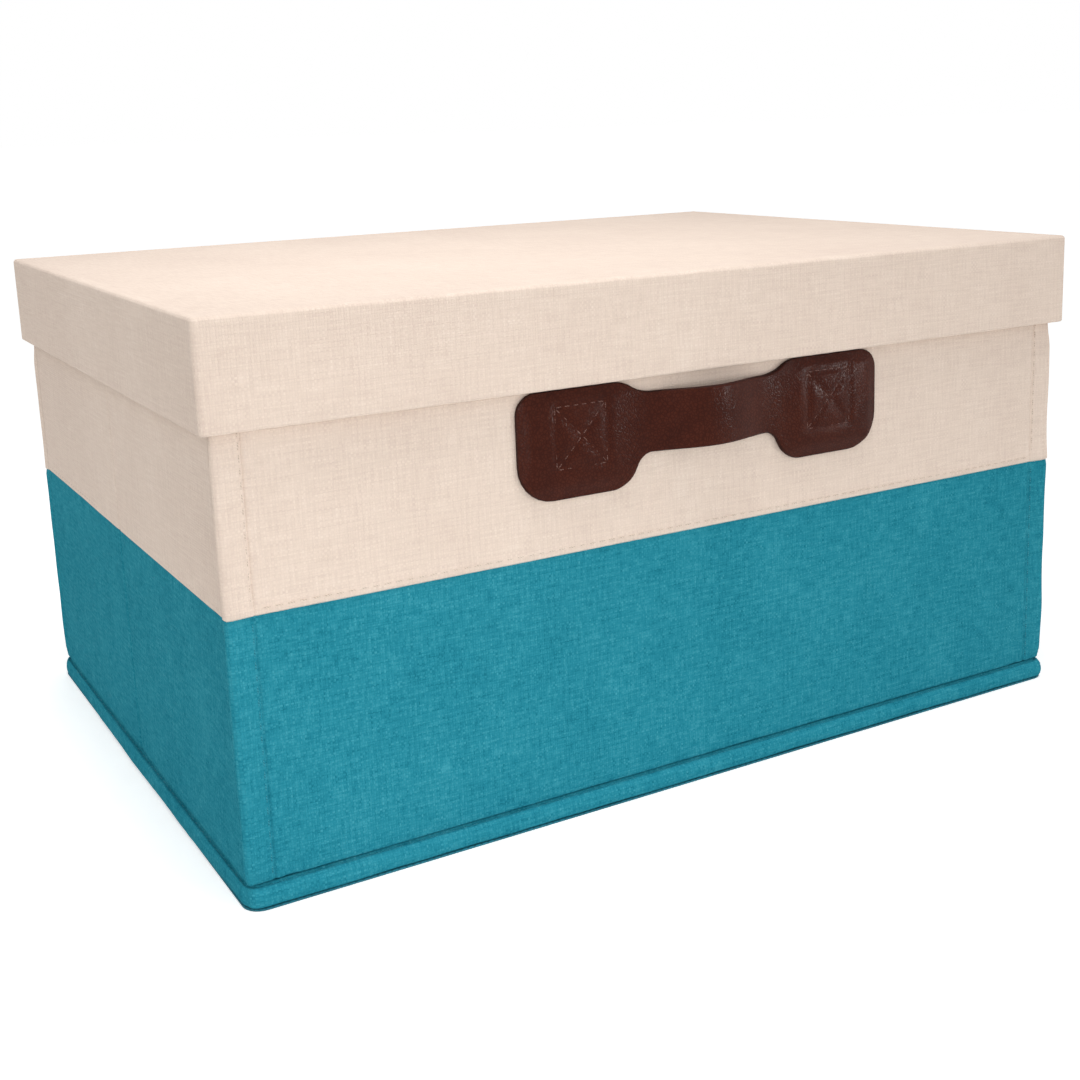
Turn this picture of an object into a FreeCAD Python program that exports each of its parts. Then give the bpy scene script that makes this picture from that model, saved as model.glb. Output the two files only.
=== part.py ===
import FreeCAD, Part
import math
import os

# Collapsible fabric storage box with a lift-off lid and two leather handles.
# Every wall is a cloth pocket with a board in it. The two long walls are whole, and each short
# wall is two halves with an upright crease between them, so that the box folds flat.
# Millimetres. +X runs along the long front, +Y to the back and +Z up. The origin is on the
# floor, in the middle of the footprint.

# Whole box, with the outside of the cloth walls as length and depth
body_length = 371.4
body_depth = 271.4
total_height = 200.0

# Cloth walls
wall_cloth = 0.6
wall_board = 2.0
wall_lining = 0.5
wall_turn_in = 12.0  # outer cloth folded over the top edge, down the inside
colour_line = 101.5  # height of the seam between the two colours of cloth
corner_seam_width = 9.5  # folded seam allowance beside each upright corner, instead of board
corner_radius = 1.5

# Floor cloth, the hem around it and the loose base board on it
floor_cloth = 0.8
hem_height = 8.0
hem_proud = 3.4  # how far the hem stands out from the walls above it
hem_corner_radius = 8.0
hem_roll_radius = 2.6
base_board = 2.5
base_cover = 0.5
base_turn_in = 16.0  # cover cloth folded under the base board
base_corner_radius = 3.0
base_clearance = 0.8  # all round, so that the board lifts out

# Lid
lid_skirt_height = 37.2
lid_overhang = 4.3
lid_board = 1.5
lid_cloth = 0.6
lid_lining = 0.4
lid_turn_in = 10.0
lid_corner_radius = 1.8
lid_edge_radius = 1.0

# Clearances
fold_gap = 0.3  # between pieces that fold past each other
lid_gap = 0.3  # under the lid's lining, above the walls

# Handles, one on each long wall
handle_length = 163.8
handle_leather = 2.4
handle_bow = 6.0  # room for the fingers behind the middle of the strap
handle_offset = 3.1  # sewn this far right of the middle
handle_drop = 0.6  # pads start this far under the lid's skirt
pad_height = 40.0
pad_corner_radius = 13.0
pad_top_start = 38.0  # from the middle of the handle to where the pad's top edge begins
pad_bottom_start = 41.0
neck_start = 30.0  # from the middle of the handle to where the strap widens
neck_radius = 4.0
strap_width = 22.8
strap_drop = 4.9  # from the pad's top edge down to the strap's

# Stiff patches behind the handle's stitching, pressed into the board
patch_width = 26.0
patch_height = 28.0
patch_thickness = 0.5
patch_centre = 57.6  # from the middle of the handle

# Sizes that follow
wall_thickness = wall_cloth + wall_board + wall_lining
wall_bottom = hem_height + fold_gap
skirt_bottom = total_height - lid_skirt_height
lid_underside = total_height - lid_cloth - lid_board - lid_lining
wall_top = lid_underside - lid_gap
lining_bottom = wall_bottom + wall_cloth
lining_top = wall_top - wall_turn_in
half_wall_length = body_depth / 2 - wall_thickness - 2 * fold_gap
pad_top = skirt_bottom - handle_drop
pad_bottom = pad_top - pad_height
strap_top = pad_top - strap_drop
strap_bottom = strap_top - strap_width

os.makedirs("parts", exist_ok=True)


def save(name, shape):
    """Writes one piece, or one set of alike pieces, to its own file."""
    print(f"{name:26s} {len(shape.Solids)} solid(s) {shape.Volume / 1000:9.2f} cm3 valid {shape.isValid()}")
    shape.exportStep(f"parts/{name}.step")


def block(x0, x1, y0, y1, z0, z1):
    """A plain block between two corners."""
    return Part.makeBox(x1 - x0, y1 - y0, z1 - z0, FreeCAD.Vector(x0, y0, z0))


def centred_block(length, depth, z0, z1):
    """A block that is centred on the upright axis."""
    return block(-length / 2, length / 2, -depth / 2, depth / 2, z0, z1)


def rounded_upright(shape, radius):
    """The shape with its upright edges rounded."""
    upright = [e for e in shape.Edges if abs(e.tangentAt(e.FirstParameter).z) > 0.99]
    return shape.makeFillet(radius, upright)


def rounded_rim(shape, z, radius):
    """The shape with every edge at that height rounded."""
    rim = [e for e in shape.Edges if abs(e.BoundBox.ZMin - z) < 1e-6 and abs(e.BoundBox.ZMax - z) < 1e-6]
    return shape.makeFillet(radius, rim)


def turned(shape, quarter_turns, x, y):
    """A panel that was drawn along +X, turned about the upright axis and moved to its place."""
    moved = shape.copy()
    moved.rotate(FreeCAD.Vector(0, 0, 0), FreeCAD.Vector(0, 0, 1), 90 * quarter_turns)
    moved.translate(FreeCAD.Vector(x, y, 0))
    return moved


# Wall panels. Each is drawn with its outer face on y = 0, its inner face on y = wall_thickness
# and its ends at x = 0 and x = length, and is then turned into its place.


def pocket_blank(length, z0, z1, rounded):
    """The full thickness of a panel between two heights, with its outer corners rounded if asked."""
    blank = block(0, length, 0, wall_thickness, z0, z1)
    if not rounded:
        return blank
    outer = [e for e in blank.Edges if abs(e.tangentAt(0).z) > 0.99 and e.BoundBox.YMax < wall_cloth]
    return blank.makeFillet(corner_radius, outer)


def lower_cloth(length, rounded):
    """Outer cloth below the colour line: outside face, both ends and the closed foot of the pocket."""
    hollow = block(wall_cloth, length - wall_cloth, wall_cloth, wall_thickness, lining_bottom, colour_line)
    return pocket_blank(length, wall_bottom, colour_line, rounded).cut(hollow)


def upper_cloth(length, rounded):
    """Outer cloth above the colour line, folded over the top edge and down the inside."""
    board_back = wall_cloth + wall_board
    for_board = block(wall_cloth, length - wall_cloth, wall_cloth, board_back, colour_line, wall_top - wall_cloth)
    for_lining = block(wall_cloth, length - wall_cloth, board_back, wall_thickness, colour_line, lining_top)
    return pocket_blank(length, colour_line, wall_top, rounded).cut([for_board, for_lining])


def lining(length):
    """Lining on the inner face, up to the turned-in edge of the outer cloth."""
    inner_face = wall_cloth + wall_board
    return block(wall_cloth, length - wall_cloth, inner_face, wall_thickness, lining_bottom, lining_top)


def filling(x0, x1):
    """What fills a stretch of the pocket between the outer cloth and the lining."""
    return block(x0, x1, wall_cloth, wall_cloth + wall_board, lining_bottom, wall_top - wall_cloth)


def long_wall(side, quarter_turns, x, y):
    """Front or back wall: one board between two corner seams, with recesses for the handle's patches."""
    patches = handle_patches()
    board = filling(corner_seam_width, body_length - corner_seam_width).cut(patches)
    pieces = {
        "board": board,
        "upper_cloth": upper_cloth(body_length, True),
        "lower_cloth": lower_cloth(body_length, True),
        "lining": lining(body_length),
        "left_corner_seam": filling(corner_radius, corner_seam_width),
        "right_corner_seam": filling(body_length - corner_seam_width, body_length - corner_radius),
        "handle_patches": Part.makeCompound(patches),
        "handle": handle(),
    }
    for piece, shape in pieces.items():
        save(f"{side}_{piece}", turned(shape, quarter_turns, x, y))


def half_wall(side, quarter_turns, x, y):
    """One half of a short wall, from an upright corner to the crease in the middle."""
    pieces = {
        "board": filling(wall_cloth, half_wall_length - wall_cloth),
        "upper_cloth": upper_cloth(half_wall_length, False),
        "lower_cloth": lower_cloth(half_wall_length, False),
        "lining": lining(half_wall_length),
    }
    for piece, shape in pieces.items():
        save(f"{side}_{piece}", turned(shape, quarter_turns, x, y))


# Handle. It is one piece of thick leather, cut like a dumbbell and bowed away from the wall in
# the middle. It is drawn where the front wall's drawing has it, outside the face on y = 0.

handle_middle = body_length / 2 + handle_offset


def handle_outline():
    """The leather as it is cut, as a wire in the plane of the wall."""
    end = handle_length / 2
    half = [(neck_start, strap_top), (pad_top_start, pad_top), (end, pad_top),
            (end, pad_bottom), (pad_bottom_start, pad_bottom), (neck_start, strap_bottom)]
    corners = half + [(-x, z) for x, z in reversed(half)]
    points = [FreeCAD.Vector(handle_middle + x, 0, z) for x, z in corners]
    return Part.makePolygon(points + points[:1])


def bowed_strip():
    """The leather seen from above, flat on the wall at both ends and bowed out by four equal arcs."""
    run = neck_start / 2
    rise = handle_bow / 2
    radius = (run ** 2 + rise ** 2) / (2 * rise)
    turn = math.asin(run / radius)
    end = handle_length / 2

    def point(x, out):
        return FreeCAD.Vector(handle_middle + x, -out, 0)

    def bow(out):
        """One face of the leather, from the left end to the right one."""
        shown = []
        for side in (-1, 1):
            low = point(side * neck_start, out)
            low_mid = point(side * (neck_start - (radius - out) * math.sin(turn / 2)),
                            radius - (radius - out) * math.cos(turn / 2))
            middle = point(side * (neck_start - (radius - out) * math.sin(turn)),
                           radius - (radius - out) * math.cos(turn))
            high_mid = point(side * (radius + out) * math.sin(turn / 2),
                             handle_bow - radius + (radius + out) * math.cos(turn / 2))
            high = point(0, handle_bow + out)
            shown.append([
                Part.LineSegment(point(side * end, out), low).toShape(),
                Part.Arc(low, low_mid, middle).toShape(),
                Part.Arc(middle, high_mid, high).toShape(),
            ])
        return shown[0] + shown[1][::-1]

    near = bow(0)
    far = bow(handle_leather)
    ends = [Part.LineSegment(point(s * end, 0), point(s * end, handle_leather)).toShape() for s in (-1, 1)]
    strip = Part.Face(Part.Wire(Part.__sortEdges__(near + far + ends)))
    strip.translate(FreeCAD.Vector(0, 0, pad_bottom))
    return strip.extrude(FreeCAD.Vector(0, 0, pad_height))


def handle():
    """The bowed strip of leather, cut to the outline, with its corners rounded."""
    reach = handle_bow + 2 * handle_leather
    cutter = Part.Face(handle_outline()).extrude(FreeCAD.Vector(0, -reach, 0))
    end = handle_middle + handle_length / 2
    through = [e for e in cutter.Edges if abs(e.tangentAt(e.FirstParameter).y) > 0.99]
    outer = [e for e in through if abs(abs(e.CenterOfMass.x - handle_middle) - handle_length / 2) < 1e-6]
    inner = [e for e in through if abs(e.CenterOfMass.x - handle_middle) < (end - handle_middle) - 1]
    cutter = cutter.makeFillet(pad_corner_radius, outer)
    inner = [e for e in cutter.Edges if any(same_line(e, i) for i in inner)]
    cutter = cutter.makeFillet(neck_radius, inner)
    return bowed_strip().common(cutter)


def same_line(edge, other):
    """Whether two edges lie in the same place."""
    return (edge.CenterOfMass - other.CenterOfMass).Length < 1e-6 and edge.Length > 1


def handle_patches():
    """The two patches behind the pads, set into the outer face of the board."""
    middle = (pad_top + pad_bottom) / 2
    patches = []
    for x in (handle_middle - patch_centre, handle_middle + patch_centre):
        patches.append(block(x - patch_width / 2, x + patch_width / 2,
                             wall_cloth, wall_cloth + patch_thickness,
                             middle - patch_height / 2, middle + patch_height / 2))
    return patches


# Floor, hem and loose base board


def hem_footprint(z0, z1):
    """The outline of the floor cloth and its hem, between two heights."""
    return rounded_upright(
        centred_block(body_length + 2 * hem_proud, body_depth + 2 * hem_proud, z0, z1), hem_corner_radius)


def make_floor():
    """Floor cloth with the stuffed hem sewn round it, and the covered board that lies inside."""
    inner_length = body_length - 2 * wall_thickness
    inner_depth = body_depth - 2 * wall_thickness
    save("floor_cloth", hem_footprint(0, floor_cloth))
    hem = rounded_rim(hem_footprint(floor_cloth, hem_height), hem_height, hem_roll_radius)
    save("hem_band", hem.cut(centred_block(inner_length, inner_depth, 0, hem_height + 1)))

    length = inner_length - 2 * base_clearance
    depth = inner_depth - 2 * base_clearance
    board_bottom = floor_cloth + base_cover
    board_top = board_bottom + base_board
    board = rounded_upright(
        centred_block(length - 2 * base_cover, depth - 2 * base_cover, board_bottom, board_top),
        base_corner_radius - base_cover)
    cover = rounded_upright(
        centred_block(length, depth, floor_cloth, board_top + base_cover), base_corner_radius)
    window = centred_block(length - 2 * base_turn_in, depth - 2 * base_turn_in, 0, board_bottom)
    save("base_board", board)
    save("base_board_cover", cover.cut([board, window]))


# Lid


def lid_block(inset, z0, z1):
    """A block that follows the lid's outside, set in by the same amount all round."""
    return centred_block(body_length + 2 * (lid_overhang - inset), body_depth + 2 * (lid_overhang - inset), z0, z1)


def make_lid():
    """Four skirt boards and a top board, in one cover cloth that is turned in at the bottom, and a lining."""
    board_top = total_height - lid_cloth
    board_under = board_top - lid_board
    turn_top = skirt_bottom + lid_turn_in
    behind_cloth = lid_cloth
    behind_board = lid_cloth + lid_board
    behind_lining = behind_board + lid_lining

    cover = rounded_upright(lid_block(0, skirt_bottom, total_height), lid_corner_radius)
    cover = rounded_rim(cover, total_height, lid_edge_radius)
    pocket = lid_block(behind_cloth, skirt_bottom + lid_cloth, turn_top)
    pocket = pocket.cut(lid_block(behind_board, skirt_bottom, turn_top))
    save("lid_cover", cover.cut([
        lid_block(behind_lining, skirt_bottom, board_top),
        lid_block(behind_cloth, turn_top, board_top),
        pocket,
    ]))
    lining_shell = lid_block(behind_board, turn_top, board_under)
    save("lid_lining", lining_shell.cut(lid_block(behind_lining, turn_top, lid_underside)))
    save("lid_top_board", lid_block(max(behind_cloth, lid_edge_radius), board_under, board_top))

    long_end = body_length / 2 + lid_overhang - max(behind_cloth, lid_corner_radius)
    long_out = body_depth / 2 + lid_overhang - behind_cloth
    long_in = long_out - lid_board
    short_out = body_length / 2 + lid_overhang - behind_cloth
    foot = skirt_bottom + lid_cloth
    save("lid_front_board", block(-long_end, long_end, -long_out, -long_in, foot, board_under))
    save("lid_back_board", block(-long_end, long_end, long_in, long_out, foot, board_under))
    save("lid_left_board", block(-short_out, lid_board - short_out, -long_in, long_in, foot, board_under))
    save("lid_right_board", block(short_out - lid_board, short_out, -long_in, long_in, foot, board_under))


make_floor()
long_wall("front", 0, -body_length / 2, -body_depth / 2)
long_wall("back", 2, body_length / 2, body_depth / 2)
corner_start = body_depth / 2 - wall_thickness - fold_gap
half_wall("left_front", 3, -body_length / 2, -fold_gap)
half_wall("left_rear", 3, -body_length / 2, corner_start)
half_wall("right_front", 1, body_length / 2, -corner_start)
half_wall("right_rear", 1, body_length / 2, fold_gap)
make_lid()
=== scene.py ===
import bpy
import bmesh
import math
from mathutils import Matrix, Vector, noise


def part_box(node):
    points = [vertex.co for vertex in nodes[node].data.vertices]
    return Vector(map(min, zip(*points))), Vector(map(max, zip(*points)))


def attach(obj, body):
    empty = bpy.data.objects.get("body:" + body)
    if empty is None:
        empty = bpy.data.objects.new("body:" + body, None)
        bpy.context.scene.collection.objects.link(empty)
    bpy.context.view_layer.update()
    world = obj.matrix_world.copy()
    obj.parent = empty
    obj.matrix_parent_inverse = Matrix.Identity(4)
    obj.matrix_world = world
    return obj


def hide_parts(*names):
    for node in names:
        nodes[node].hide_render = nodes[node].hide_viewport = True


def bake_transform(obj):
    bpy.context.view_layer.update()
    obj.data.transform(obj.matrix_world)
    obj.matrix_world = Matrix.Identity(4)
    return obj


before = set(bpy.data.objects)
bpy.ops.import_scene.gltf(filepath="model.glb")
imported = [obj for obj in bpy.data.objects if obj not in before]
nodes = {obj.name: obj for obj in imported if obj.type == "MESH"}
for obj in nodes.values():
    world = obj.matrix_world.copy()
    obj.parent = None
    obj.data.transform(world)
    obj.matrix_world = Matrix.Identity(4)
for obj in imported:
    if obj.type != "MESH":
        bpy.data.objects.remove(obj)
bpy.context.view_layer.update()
mm = 0.001

# sizes read from the frame, so that every cloth lies on the board it covers
wallLow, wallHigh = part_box("front_upper_cloth")
box = {
    "halfLength": wallHigh.x,  # outer faces of the cloth walls
    "halfDepth": -wallLow.y,
    "rim": wallHigh.z,
    "colourLine": wallLow.z,
    "foot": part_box("front_lower_cloth")[0].z,
    "liningTop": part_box("front_lining")[1].z,
    "wall": 3.1 * mm,  # board, outer cloth and lining
    "inner": 1.5 * mm,  # cloth deeper than this lies on the wall's inside
    "corner": 1.5 * mm,
    "strip": 9.5 * mm,  # seam strip beside each upright corner, on the long walls
    "roundCorner": 3.6 * mm,  # how far the strip's cloth goes on round the corner
    "weave": 0.6 * mm,  # thickness of the woven cloth, of the lining and of the thinnest cloth
    "lining": 0.45 * mm,
    "thin": 0.35 * mm,
    "heightPlay": 0.25 * mm,  # an uneven place moves no fold further up or down than this
    "step": 2.6 * mm,
}
lapLength = 4 * (box["halfLength"] + box["halfDepth"])  # once round the walls
lap = {"front": 0.0, "right": lapLength / 4, "back": lapLength / 2, "left": -lapLength / 4}
seamPlace = box["halfLength"] - box["strip"]  # from the middle of a long wall to its seams
print("storage box: frame loaded")


# cloth laid round the box

def held(value, low=0.0, high=1.0):
    return max(low, min(high, value))


def easeIn(share):
    share = held(share)
    return share * share * (3 - 2 * share)


def fade(distance, reach):
    return math.exp(-((distance / reach) ** 2))


def flatShape(run, depth, height):
    return 0.0


def unevenness(u, v, seed, size, amount):
    # soft hollows and swellings of about that size, for board that isn't quite flat under its cloth
    spot = Vector((u / size, v / size, seed))
    return amount * (noise.noise(spot) + 0.35 * noise.noise(spot * 2.6 + Vector((7.1, 3.3, 0.0))))


def onOutline(run, depth, halfLength, halfDepth, radius):
    # run goes round from the middle of the front towards +X, and depth goes in from the outer face
    around = (run + halfLength) % (4 * (halfLength + halfDepth))
    if around <= 2 * halfLength:
        sharp = Vector((around - halfLength, -halfDepth))
    elif around <= 2 * (halfLength + halfDepth):
        sharp = Vector((halfLength, around - 2 * halfLength - halfDepth))
    elif around <= 4 * halfLength + 2 * halfDepth:
        sharp = Vector((3 * halfLength + 2 * halfDepth - around, halfDepth))
    else:
        sharp = Vector((-halfLength, 4 * halfLength + 3 * halfDepth - around))

    def pulledIn(inset):
        return Vector((held(sharp.x, inset - halfLength, halfLength - inset),
                       held(sharp.y, inset - halfDepth, halfDepth - inset)))

    outwards = (sharp - pulledIn(radius)).normalized()
    inset = max(radius, depth + 0.2 * mm)
    return pulledIn(inset) + outwards * (inset - depth), outwards


def foldLine(corners, step):
    # corners are (depth, height, bend) in mm, and so is the step.
    # Gives rows of (depth, height, normal, run) along the folded cloth
    arcStep = math.radians(18)
    points = []
    for index, (depth, height, bend) in enumerate(corners):
        here = Vector((depth, height))
        if bend == 0:
            points.append(here)
            continue
        before = (Vector(corners[index - 1][:2]) - here).normalized()
        after = (Vector(corners[(index + 1) % len(corners)][:2]) - here).normalized()
        halfAngle = before.angle(after) / 2
        middle = here + (before + after).normalized() * bend / math.sin(halfAngle)
        first = here + before * bend / math.tan(halfAngle) - middle
        last = here + after * bend / math.tan(halfAngle) - middle
        arcSteps = max(2, round((math.pi - 2 * halfAngle) / arcStep))
        for part in range(arcSteps + 1):
            points.append(middle + first.lerp(last, part / arcSteps).normalized() * bend)
    dense = [points[0]]
    for point in points[1:]:
        gap = (point - dense[-1]).length
        if gap < 0.02:
            continue
        cuts = max(1, math.ceil(gap / step))
        start = dense[-1]
        dense += [start.lerp(point, part / cuts) for part in range(1, cuts + 1)]
    rows, run = [], 0.0
    for index, point in enumerate(dense):
        along = (dense[min(index + 1, len(dense) - 1)] - dense[max(index - 1, 0)]).normalized()
        if index:
            run += (point - dense[index - 1]).length
        rows.append((point.x * mm, point.y * mm, Vector((-along.y, along.x)), run * mm))
    return rows


def spread(start, end, step, fine=()):
    # places along the cloth, closer together round each (place, reach, fine step)
    places = [start]
    while places[-1] < end - 1e-9:
        here = places[-1]
        stride = step
        for place, reach, fineStep in fine:
            distance = max(0.0, abs(here + 0.5 * fineStep - place) - reach)
            stride = min(stride, max(fineStep, distance * 0.6))
        places.append(min(end, here + stride))
    if len(places) > 2 and places[-1] - places[-2] < 0.3 * (places[-2] - places[-3]):
        places.pop(-2)
    return places


def ringCorners(outline):
    halfLength, halfDepth = outline[:2]
    return [-halfLength - 2 * halfDepth, -halfLength, halfLength, halfLength + 2 * halfDepth]


def ringColumns(outline, step, reach, fineStep):
    # a ring that starts and ends in the middle of the back
    half = 2 * (outline[0] + outline[1])
    return spread(-half, half, step, [(corner, reach, fineStep) for corner in ringCorners(outline)])


def finishMesh(name, bm, materials, smoothAngle=50):
    mesh = bpy.data.meshes.new(name)
    bm.to_mesh(mesh)
    bm.free()
    piece = bpy.data.objects.new(name, mesh)
    bpy.context.scene.collection.objects.link(piece)
    for material in materials:
        mesh.materials.append(material)
    for face in mesh.polygons:
        face.use_smooth = True
    mesh.set_sharp_from_angle(angle=math.radians(smoothAngle))
    return piece


def applied(piece):
    # the piece's modifiers worked into its mesh
    bpy.context.view_layer.update()
    evaluated = piece.evaluated_get(bpy.context.evaluated_depsgraph_get())
    mesh = bpy.data.meshes.new_from_object(evaluated)
    mesh.name = piece.name
    piece.modifiers.clear()
    piece.data = mesh
    return piece


def thicken(piece, thickness):
    shell = piece.modifiers.new("clothThickness", "SOLIDIFY")
    shell.thickness = thickness
    shell.offset = -1.0
    shell.use_even_offset = False
    return applied(piece)


def layCloth(name, columns, rows, shape, material, thickness, outline=None, ring=False, panel=None,
             reach=None):
    # the cloth is a flat grid first, which gives its UV map in metres, and is then folded along the rows
    halfLength, halfDepth, radius = outline or (box["halfLength"], box["halfDepth"], box["corner"])
    bm = bmesh.new()
    across, along = len(columns) - 1, len(rows) - 1
    bmesh.ops.create_grid(bm, x_segments=across, y_segments=along, size=1)
    clothMap = bm.loops.layers.uv.new("clothMap")
    cell = {}
    for vert in bm.verts:
        cell[vert] = (round((vert.co.x + 1) / 2 * across), round((vert.co.y + 1) / 2 * along))
    for face in bm.faces:
        for loop in face.loops:
            column, row = cell[loop.vert]
            loop[clothMap].uv = (columns[column], rows[row][3])
    edgeRow = []
    for vert, (column, row) in cell.items():
        depth, height, normal, run = rows[row]
        lift = shape(columns[column], depth, height)
        if reach and depth < 0:
            depth *= reach(columns[column])
        flat, outwards = onOutline(columns[column], depth + normal.x * lift, halfLength, halfDepth, radius)
        rise = held(lift, -box["heightPlay"], box["heightPlay"])
        vert.co = (flat.x, flat.y, height + normal.y * rise)
        if panel and row == (along if panel["end"] else 0):
            edgeRow.append((column, vert))
    if ring:
        edgeRow = [vert for column, vert in sorted(edgeRow, key=lambda pair: pair[0]) if column < across]
        bmesh.ops.remove_doubles(bm, verts=bm.verts[:], dist=0.002 * mm)
    if panel:
        closePanel(bm, [vert for vert in edgeRow if vert.is_valid], panel, clothMap)
    piece = finishMesh(name, bm, [material])
    return thicken(piece, thickness) if thickness else piece


def closePanel(bm, edgeRow, panel, clothMap):
    # fills the ring's open edge with one flat panel, which is then cut into a grid and made uneven
    edgeVerts = set(edgeRow)
    ringEdges = [e for e in bm.edges if e.is_boundary and edgeVerts.issuperset(e.verts)]
    face = bmesh.ops.contextual_create(bm, geom=ringEdges)["faces"][0]
    face.normal_update()
    if face.normal.z * panel["up"] < 0:
        face.normal_flip()
    faces = [face]
    for axis, way in enumerate((Vector((1, 0, 0)), Vector((0, 1, 0)))):
        reach = max(abs(vert.co[axis]) for vert in edgeVerts)
        count = math.floor(2 * reach / panel["step"])
        for cut in range(1, count):
            edges = {e for f in faces for e in f.edges}
            verts = {v for f in faces for v in f.verts}
            place = way * reach * (2 * cut / count - 1)
            pieces = bmesh.ops.bisect_plane(bm, geom=faces + list(edges) + list(verts), dist=1e-7,
                                            plane_co=place, plane_no=way)["geom"]
            faces = [g for g in pieces if isinstance(g, bmesh.types.BMFace)]
    panelFaces = set(faces)
    for f in faces:
        for loop in f.loops:
            loop[clothMap].uv = (loop.vert.co.x, loop.vert.co.y)
    for vert in {v for f in faces for v in f.verts}:
        if all(f in panelFaces for f in vert.link_faces):
            vert.co.z += panel["lift"](vert.co.x, vert.co.y)


def fit(piece, body=None, replaced=()):
    # the body that carries the piece, and the CAD nodes that it stands for, which are hidden
    if replaced:
        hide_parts(*replaced)
    if body:
        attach(piece, body)


# materials

def fromHex(text):
    # sRGB hex to linear
    parts = [int(text[i:i + 2], 16) / 255 for i in (1, 3, 5)]
    return tuple(p / 12.92 if p <= 0.04045 else ((p + 0.055) / 1.055) ** 2.4 for p in parts) + (1.0,)


def setInputs(tree, node, inputs):
    # a node given as an input stands for its own first output
    for key, value in inputs.items():
        value = value.outputs[0] if isinstance(value, bpy.types.Node) else value
        if isinstance(value, bpy.types.NodeSocket):
            tree.links.new(value, node.inputs[key])
        else:
            node.inputs[key].default_value = value


def addNode(tree, kind, settings=None, inputs=None):
    node = tree.nodes.new("ShaderNode" + kind)
    for key, value in (settings or {}).items():
        setattr(node, key, value)
    setInputs(tree, node, inputs or {})
    return node


def newMaterial(name):
    material = bpy.data.materials.new(name)
    material.use_nodes = True
    tree = material.node_tree
    tree.nodes.clear()
    shader = addNode(tree, "BsdfPrincipled")
    addNode(tree, "OutputMaterial", inputs={"Surface": shader})
    return material, tree, shader


def setStops(ramp, stops):
    while len(ramp.color_ramp.elements) > 1:
        ramp.color_ramp.elements.remove(ramp.color_ramp.elements[-1])
    ramp.color_ramp.elements[0].position = stops[0][0]
    ramp.color_ramp.elements[0].color = fromHex(stops[0][1])
    for place, colour in stops[1:]:
        ramp.color_ramp.elements.new(place).color = fromHex(colour)


def wovenCloth(look):
    # plain weave of slubbed yarn: warp and weft take turns on top, and each yarn has its own streaks
    material, tree, shader = newMaterial(look["name"])
    place = addNode(tree, "TexCoord").outputs["UV"]
    apart = addNode(tree, "SeparateXYZ", inputs={0: place})
    turns, rises = [], []
    for way in ("X", "Y"):
        angle = addNode(tree, "Math", {"operation": "MULTIPLY"},
                        {0: apart.outputs[way], 1: math.pi / look["threadPitch"]})
        turns.append(addNode(tree, "Math", {"operation": "SINE"}, {0: angle}))
        rises.append(addNode(tree, "Math", {"operation": "ABSOLUTE"}, {0: turns[-1]}))
    crossing = addNode(tree, "Math", {"operation": "MULTIPLY"}, {0: turns[0], 1: turns[1]})
    onTop = addNode(tree, "Math", {"operation": "MULTIPLY_ADD", "use_clamp": True},
                    {0: crossing, 1: 2.2, 2: 0.5})
    rise = addNode(tree, "Mix", inputs={0: onTop, 2: rises[1], 3: rises[0]})

    # streaks of the weft and of the warp, cloudy patches, and the fuzz on the yarn: width, length, detail
    yarn, slub, patch, fuzz = look["yarnWidth"], look["slubLength"], look["cloud"], 0.25 * mm
    grains = []
    for across, along, detail in ((yarn, slub, 3.0), (slub * 1.3, yarn, 3.0),
                                  (patch, patch * 1.6, 4.0), (fuzz, fuzz, 2.0)):
        mapping = addNode(tree, "Mapping", inputs={"Vector": place, "Scale": (1 / across, 1 / along, 1.0)})
        grain = addNode(tree, "TexNoise", {"noise_dimensions": "2D"},
                        {"Vector": mapping, "Scale": 1.0, "Detail": detail, "Roughness": 0.6})
        grains.append(grain)
    streak = addNode(tree, "Mix", inputs={0: onTop, 2: grains[1], 3: grains[0]})
    tone = addNode(tree, "Mix", inputs={0: look["streakShare"], 2: grains[2], 3: streak})
    ramp = addNode(tree, "ValToRGB", inputs={0: tone})
    setStops(ramp, look["stops"])
    hollow = addNode(tree, "MapRange", inputs={0: rise, 1: 0.0, 2: 0.75, 3: look["hollowShade"], 4: 1.0})
    shade = addNode(tree, "Mix", {"data_type": "RGBA", "blend_type": "MULTIPLY"},
                    {0: 1.0, 6: ramp, 7: hollow})
    slubs = addNode(tree, "Math", {"operation": "MULTIPLY_ADD"}, {0: streak, 1: 0.9, 2: rise})
    height = addNode(tree, "Math", {"operation": "MULTIPLY_ADD"}, {0: grains[3], 1: 0.3, 2: slubs})
    bump = addNode(tree, "Bump", inputs={"Strength": look["bump"], "Distance": 0.22 * mm,
                                         "Height": height})
    rough = addNode(tree, "MapRange", inputs={0: streak, 1: 0.3, 2: 0.7, 3: 0.95, 4: 0.82})
    setInputs(tree, shader, {"Base Color": shade.outputs[2], "Normal": bump,
                             "Roughness": rough, "Specular IOR Level": look["specular"],
                             "Sheen Weight": look["sheen"], "Sheen Roughness": 0.45})
    return material


# polyester-linen weave: a warm, matt surface with faint upright streaks. Real yarn lies about 0.6 mm
# apart, and it is drawn coarser, at about two pixels of the photograph, because a finer one wouldn't show
creamLinen = wovenCloth({
    "name": "creamLinenWeave", "threadPitch": 0.95 * mm, "yarnWidth": 1.1 * mm, "slubLength": 11 * mm,
    "cloud": 55 * mm, "streakShare": 0.72, "hollowShade": 0.95, "bump": 0.3, "sheen": 0.06, "specular": 0.05,
    "stops": [(0.30, "#e4cfc1"), (0.47, "#ecd9ca"), (0.56, "#f0ddce"), (0.72, "#f6e5d7")],
})
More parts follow.
